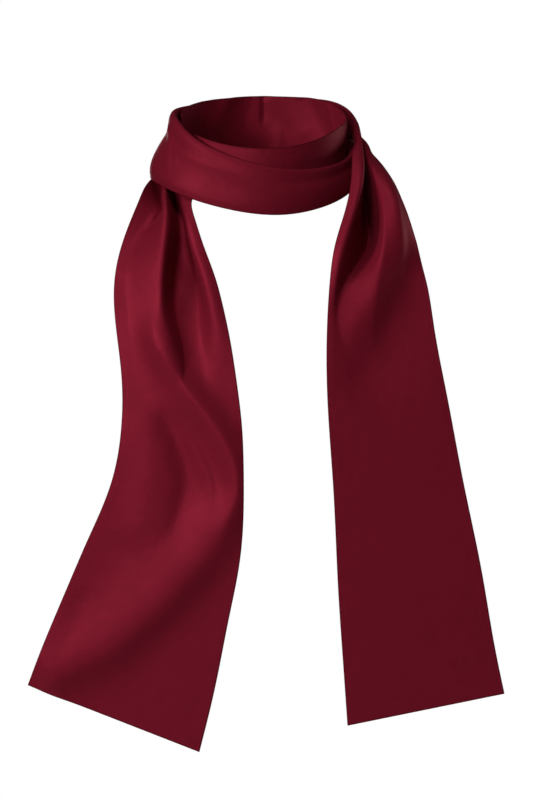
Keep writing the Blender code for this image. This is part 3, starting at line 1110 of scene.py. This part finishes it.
    def stations(self) -> np.ndarray:
        """The marked points from the front band's hidden end to the right tail's hem.

        Returns:
            Points as sections by marks by three.
        """
        made = []
        for wrap in self.wraps:
            lining = (wrap.top[0] - self.lining_gap, wrap.top[1] - wrap.tuck)
            marks = [lining] + wrap.face(self.face_shares)
            made.append([LOOP.point(wrap.angle, *place) for place in marks])
        return np.concatenate([np.array(made), tail_stations(self.crossings, self.fold_lines)])

    def build(self) -> dict[str, bpy.types.Object]:
        """Makes the three stretches.

        Returns:
            The objects by the name of the node that each stands for.
        """
        nape_row = next(number for number, wrap in enumerate(self.wraps) if wrap.angle == self.band_end)
        tail_row = len(self.wraps)
        around_neck = [self.top_bend] + [self.face_bend] * (len(self.face_shares) - 2)
        down_tail = [line.bend for line in self.fold_lines]
        bends = np.array([around_neck] * tail_row + [down_tail] * len(self.crossings))
        strip = Strip(self.stations(), (0, nape_row, tail_row, tail_row + len(self.crossings) - 1), bends)
        cloth = strip.cloth()
        rows = np.arange(len(cloth.grid))[:, None]
        past_join = rows - strip.cut_rows[2]
        outside = ease((cloth.across - self.lining_width) / self.lining_fade)
        on_band = ease(-past_join / self.band_fade) * outside
        cloth = pressed_round(cloth, self.band_folds, LOOP.chart(cloth.grid), self.arc_per_degree, on_band)
        on_tail = ease((past_join - self.tail_fade) / self.tail_fade)
        cloth = pressed(cloth, self.tail_folds, cloth.grid[..., (0, 2)], on_tail)
        return made_stretches(self.stretches, cloth, strip.cut_rows, self.shell)


@dataclass
class InnerWrap:
    """The strip from the front band's upper pleat round the right side and the nape to the left.

    Attributes:
        shell: The layers of satin.
        face_shares: The marks' shares of the way from the upper edge to the lower.
        face_bend: The length of cloth in the turn at the marks on the face.
        columns: Points from edge to edge.
        arc_per_degree: The cloth in one degree round the neck, by which the folds are drawn.
        band_end: The angle at which the front band goes on as the inner nape.
        wraps: The sections round the neck.
        folds: Soft folds, by degrees round the neck and heights.
        stretches: What each stretch is.
    """

    shell: Shell = Shell()
    face_shares: tuple[float, ...] = (0.0, 0.5, 0.8, 1.0)
    face_bend: float = 0.0
    columns: int = 56
    arc_per_degree: float = 1.45
    band_end: float = 88.0
    wraps: tuple[Wrap, ...] = (
        Wrap(-74, (87, 12), (86.2, 24), 0, 0),
        Wrap(-62, (86.6, 11), (84.2, 31), 0, 0),
        Wrap(-40, (84.6, 3), (83, 32.7), 0.3, 0.15),
        Wrap(-16, (84.4, -4), (83, 31.4), 0.5, 0.25),
        Wrap(8, (84.4, -4), (83, 31.2), 0.5, 0.25),
        Wrap(32, (84.4, -4), (83, 33), 0.5, 0.25),
        Wrap(54, (84.6, -4), (83, 36), 0.4, 0.2),
        Wrap(72, (84.8, -5), (83, 36.6), 0.2, 0.1),
        Wrap(88, (85, -8), (83, 34.6), 0, 0),
        Wrap(101, (85.2, -21), (83, 33.6), 0.5, 0.25),
        Wrap(117, (85.2, -27), (83, 34.4), 1, 0.5),
        Wrap(135, (85, -27), (82.7, 34.2), 1.5, 0.75),
        Wrap(156, (84.8, -27), (82.6, 32), 1, 0.5),
        Wrap(180, (84.6, -27), (82.4, 30.6), 0, 0),
        Wrap(205, (84.6, -27), (82.4, 31.6), 1, 0.5),
        Wrap(228, (84.8, -25.5), (82.5, 34), 1.5, 0.75),
        Wrap(246, (85, -18), (82.6, 36.6), 1, 0.5),
        Wrap(262, (85.5, -6), (83, 38), 0.5, 0.25),
        Wrap(272, (85, 2), (82.8, 36.5), 0, 0),
        Wrap(283, (84, 8), (82.2, 30), 0, 0),
        Wrap(294, (83, 9), (81.5, 18), 0, 0),
    )
    folds: tuple[SoftFold, ...] = (
        SoftFold(((181.2, 38), (180.6, 16), (181.4, -4)), 2.4, 2, 5.5, 6, 16, 1.5),
        SoftFold(((187, 38), (192, 14), (198, -14)), 1.1, 11, 9, 6, 20),
        SoftFold(((205, 38), (213, 14), (224, -12)), -2.4, 10, 9, 6, 16),
        SoftFold(((226, 36), (236, 16), (246, -4)), 0.9, 8, 8, 6, 16),
        SoftFold(((170, 38), (160, 12), (146, -16)), -2.4, 14, 16, 6, 16),
        SoftFold(((150, 38), (138, 12), (126, -10)), 1.6, 11, 11, 6, 16),
        SoftFold(((128, 36), (126, 20), (122, 0)), -1.4, 3, 4, 6, 14, 1.6),
        SoftFold(((173, 6), (169, -10), (171, -30)), -1.2, 6, 5, 14, 6),
        SoftFold(((20, 14), (45, 10), (74, 14)), -0.9, 5, 7, 20, 14),
    )
    stretches: tuple[Stretch, ...] = (
        Stretch("front_band_upper", EndFinish.HEM, EndFinish.JOIN, (0.042, 0.24), 0.0085, Hold.DRAPED,
                ("front_band_lower",)),
        Stretch("nape_inner", EndFinish.JOIN, EndFinish.HEM, (0.062, 0.30), 0.014, Hold.DRAPED,
                ("nape_outer",)),
    )

    def build(self) -> dict[str, bpy.types.Object]:
        """Makes the two stretches.

        Returns:
            The objects by the name of the node that each stands for.
        """
        stations = [[LOOP.point(wrap.angle, *place) for place in reversed(wrap.face(self.face_shares))]
                    for wrap in self.wraps]
        join = next(number for number, wrap in enumerate(self.wraps) if wrap.angle == self.band_end)
        bends = np.full((len(self.wraps), len(self.face_shares) - 2), self.face_bend)
        strip = Strip(np.array(stations), (0, join, len(self.wraps) - 1), bends, columns=self.columns)
        cloth = strip.cloth()
        chart = LOOP.chart(cloth.grid)
        late = np.arange(len(cloth.grid))[:, None] > strip.cut_rows[1] // 2
        chart[..., 0] += np.where(late & (chart[..., 0] < 0.0), FULL_TURN, 0.0)
        cloth = pressed_round(cloth, self.folds, chart, self.arc_per_degree)
        return made_stretches(self.stretches, cloth, strip.cut_rows, self.shell)


@dataclass
class LeftTail:
    """The tail at the viewer's left, bunched in three pleats under the front band.

    Attributes:
        shell: The layers of satin.
        crossings: Its sections from its top to its hem.
        fold_lines: Its pleats from left to right.
        folds: The softer folds below them, drawn as the viewer sees them.
        stretch: What the stretch is.
    """

    shell: Shell = Shell()
    crossings: tuple[Crossing, ...] = (
        Crossing(LOOP.point(-96, 87.6, 6), LOOP.point(-50, 89.6, 6)),
        Crossing(LOOP.point(-97, 88, -6.7), LOOP.point(-44, 93, -6.7)),
        Crossing(LOOP.point(-84, 112.1, -21.5), LOOP.point(-41.5, 107.3, -20)),
        Crossing((-123.7, -36, -43.8), (-67.7, -90, -60.8)),
        Crossing((-134.3, -52, -69.8), (-59.7, -100, -84.5)),
        Crossing((-144.2, -68, -101.2), (-48.8, -110, -113)),
        Crossing((-147.7, -84, -133.9), (-40, -119, -144.5)),
        Crossing((-144.8, -98, -168.9), (-33.1, -126, -177)),
        Crossing((-140.3, -107.5, -203.6), (-27.3, -130, -213.9)),
        Crossing((-138.7, -115.5, -248.3), (-21.4, -132, -262.9)),
        Crossing((-148, -121, -311.3), (-19.4, -132, -324.3)),
        Crossing((-172.8, -123, -373), (-24.5, -131, -395.3)),
        Crossing((-193.6, -123.5, -421.1), (-35.5, -130, -452.8)),
        Crossing((-216.3, -122, -475.1), (-49.5, -129, -523.7)),
        Crossing((-233.9, -120.5, -520.5), (-64.6, -128, -586.4)),
    )
    fold_lines: tuple[FoldLine, ...] = (
        FoldLine(0.12, ((0.12, 2), (0.12, 3), (0.14, -12), (0.24, -17), (0.17, -7), (0.12, 0)), 6),
        FoldLine(0.36, ((0.38, 8), (0.38, 11), (0.40, 5), (0.56, 9), (0.56, 10.5), (0.50, 10.5),
                        (0.455, 9.5), (0.43, 6.5), (0.45, 1.5), (0.42, 0)), 6),
        FoldLine(0.47, ((0.52, 9), (0.52, 10.5), (0.46, -8), (0.585, -12), (0.58, -18), (0.53, -20),
                        (0.53, -12), (0.545, -6), (0.55, -1)), 5),
        FoldLine(0.62, ((0.60, 7), (0.60, 8.5), (0.58, -9), (0.66, -14), (0.665, -20), (0.70, -23),
                        (0.72, -17), (0.70, -8), (0.68, -1)), 9),
        FoldLine(0.82, ((0.80, 4), (0.80, 7), (0.80, 1.5), (0.87, 2), (0.87, 3), (0.89, 3), (0.90, 3),
                        (0.88, 1.5), (0.84, 0.5)), 12),
    )
    folds: tuple[SoftFold, ...] = (
        SoftFold(((-112, -140), (-103, -172), (-94, -193), (-80, -217), (-60, -243),
                  (-40, -271), (-28, -298), (-26, -322), (-34, -348), (-49, -374)),
                 11, 15, 15, 50, 60, 1.7),
        SoftFold(((-27, -316), (-43, -362), (-66, -394), (-92, -424), (-122, -454),
                  (-160, -484), (-202, -506), (-232, -523)), 11, 21, 38, 60, 30),
        SoftFold(((-98, -219), (-86, -244), (-72, -274), (-58, -303), (-52, -331),
                  (-60, -355)), 3, 6, 9, 30, 50),
        SoftFold(((-104, -229), (-90, -259), (-79, -289), (-75, -313), (-79, -338),
                  (-87, -363), (-106, -395)), -4.4, 24, 12, 40, 60),
        SoftFold(((-127, -230), (-119, -264), (-112, -299), (-115, -334), (-122, -364),
                  (-138, -390)), 2.5, 18, 18, 40, 40),
        SoftFold(((-178, -417), (-182, -445), (-200, -480), (-212, -500)), -1.2, 10, 12, 20,
                 30),
        SoftFold(((-104, -54), (-114, -68), (-128, -90)), 1.4, 3, 3, 14, 14),
    )
    stretch: Stretch = Stretch("left_tail", EndFinish.JOIN, EndFinish.HEM, (0.180, 0.60), 0.082,
                               Hold.GATHERED, ("nape_inner",))

    def build(self) -> dict[str, bpy.types.Object]:
        """Makes the tail.

        Returns:
            The object by the name of the node that it stands for.
        """
        stations = tail_stations(self.crossings, self.fold_lines)
        bends = np.tile([line.bend for line in self.fold_lines], (len(self.crossings), 1))
        strip = Strip(stations, (0, len(self.crossings) - 1), bends)
        cloth = strip.cloth()
        cloth = pressed(cloth, self.folds, cloth.grid[..., (0, 2)])
        return made_stretches((self.stretch,), cloth, strip.cut_rows, self.shell)


@dataclass(frozen=True)
class SoftLight:
    """A large soft light of the studio.

    Attributes:
        name: Its name.
        place: Where it stands.
        aim: The point that it faces.
        size: Its width and its height.
        power: Its power in watts.
    """

    name: str
    place: Point
    aim: Point
    size: Place
    power: float

    def switch_on(self) -> None:
        """Adds the light."""
        lamp = bpy.data.lights.new(self.name, "AREA")
        lamp.shape = "RECTANGLE"
        lamp.size, lamp.size_y = self.size
        lamp.energy = self.power
        made = in_scene(self.name, lamp)
        made.location = self.place
        made.rotation_euler = (Vector(self.aim) - Vector(self.place)).to_track_quat("-Z", "Y").to_euler()


@dataclass
class Studio:
    """A plain pale floor, soft lights and the camera.

    Attributes:
        floor_height: The floor under a wearer's feet.
        floor_reach: How far it runs each way.
        floor_colour: Its colour as the light that it throws back sees it.
        aim: The point at the middle of the picture.
        distance: From there to the camera.
        elevation: How far above the horizon the camera stands, in degrees.
        lens: Its focal length in millimetres.
        sensor: The long side of its sensor in millimetres.
        view_reach: How far it sees.
        ambient: The strength of the light from all round.
        lights: The soft lights.
    """

    floor_height: float = -1.42
    floor_reach: float = 40.0
    floor_colour: tuple[float, ...] = (0.6, 0.6, 0.6, 1.0)
    aim: Point = (0.0025, -0.060, -0.24342)
    distance: float = 3.0
    elevation: float = 8.0
    lens: float = 135.0
    sensor: float = 36.0
    view_reach: float = 200.0
    ambient: float = 0.035
    lights: tuple[SoftLight, ...] = (
        SoftLight("key", (-2.8, -1.75, 1.2), (0.0, 0.0, -0.25), (0.8, 0.8), 55.0),
        SoftLight("top", (-0.4, -0.9, 3.2), (0.0, 0.0, 0.0), (1.2, 1.2), 28.0),
        SoftLight("front", (-1.4, -2.9, 0.45), (0.0, 0.0, -0.25), (0.9, 0.9), 31.0),
        SoftLight("side", (2.9, 1.2, 0.4), (0.0, 0.0, -0.2), (1.6, 1.6), 26.0),
        SoftLight("rear", (-0.4, 3.1, -0.5), (0.0, 0.0, -0.2), (1.6, 1.6), 30.0),
    )

    def set_up(self) -> None:
        """Makes the floor, the light all round, the lights and the camera."""
        self.lay_floor()
        self.fill_world()
        for light in self.lights:
            light.switch_on()
        self.place_camera()

    def lay_floor(self) -> None:
        """Lays the floor, which is white to look at and pale as it throws light back."""
        mesh = bpy.data.meshes.new("floor")
        half = self.floor_reach
        corners = [(-half, -half, 0), (half, -half, 0), (half, half, 0), (-half, half, 0)]
        mesh.from_pydata(corners, [], [(0, 1, 2, 3)])
        floor = in_scene("floor", mesh)
        floor.location.z = self.floor_height
        material = bpy.data.materials.new("floor_white")
        material.use_nodes = True
        nodes = Nodes(material.node_tree)
        nodes.tree.nodes.remove(nodes.tree.nodes["Principled BSDF"])
        seen = nodes.node("ShaderNodeEmission", Color=WHITE, Strength=1.0)
        lit = nodes.node("ShaderNodeBsdfDiffuse", Color=self.floor_colour)
        path = nodes.node("ShaderNodeLightPath")
        mix = nodes.node("ShaderNodeMixShader")
        values = (path.outputs["Is Camera Ray"], lit.outputs[0], seen.outputs[0])
        for value, socket in zip(values, mix.inputs):
            nodes.link(value, socket)
        nodes.link(mix.outputs[0], nodes.tree.nodes["Material Output"].inputs["Surface"])
        mesh.materials.append(material)

    def fill_world(self) -> None:
        """Makes the world white to look at and dim as a light."""
        world = bpy.data.worlds.new("studio")
        bpy.context.scene.world = world
        world.use_nodes = True
        nodes = Nodes(world.node_tree)
        back = nodes.tree.nodes["Background"].inputs
        seen = nodes.node("ShaderNodeLightPath").outputs["Is Camera Ray"]
        nodes.link(WHITE, back["Color"])
        nodes.link(nodes.math("MULTIPLY_ADD", seen, 1.0 - self.ambient, self.ambient), back["Strength"])

    def place_camera(self) -> None:
        """Places the camera at the picture's viewing angle."""
        rise = math.radians(self.elevation)
        back = Vector((0.0, -math.cos(rise), math.sin(rise)))
        lens = bpy.data.cameras.new("camera")
        lens.lens = self.lens
        lens.sensor_width = self.sensor
        lens.clip_end = self.view_reach
        made = in_scene("camera", lens)
        made.location = Vector(self.aim) + back * self.distance
        made.rotation_euler = (-back).to_track_quat("-Z", "Y").to_euler()
        bpy.context.scene.camera = made
        bpy.context.scene.view_settings.view_transform = "Standard"


def main() -> None:
    """Builds the studio and the stole, and dresses each stretch in satin."""
    logging.basicConfig(level=logging.INFO, format="%(name)s: %(message)s")
    Studio().set_up()
    groups = {"weave": satin_weave_group(), "handling": handling_group(), "edge": turned_edge_group()}
    finish = SatinFinish()
    outer, inner, left = OuterWrap(), InnerWrap(), LeftTail()
    pieces = {**outer.build(), **inner.build(), **left.build()}
    for stretch in (*outer.stretches, *inner.stretches, left.stretch):
        piece = pieces[stretch.node]
        piece.data.materials.append(finish.material(stretch.node + "_satin", groups))
        stretch.declare(piece)
        LOG.info("%s: %d faces", piece.name, len(piece.data.polygons))


if __name__ == "__main__":
    main()
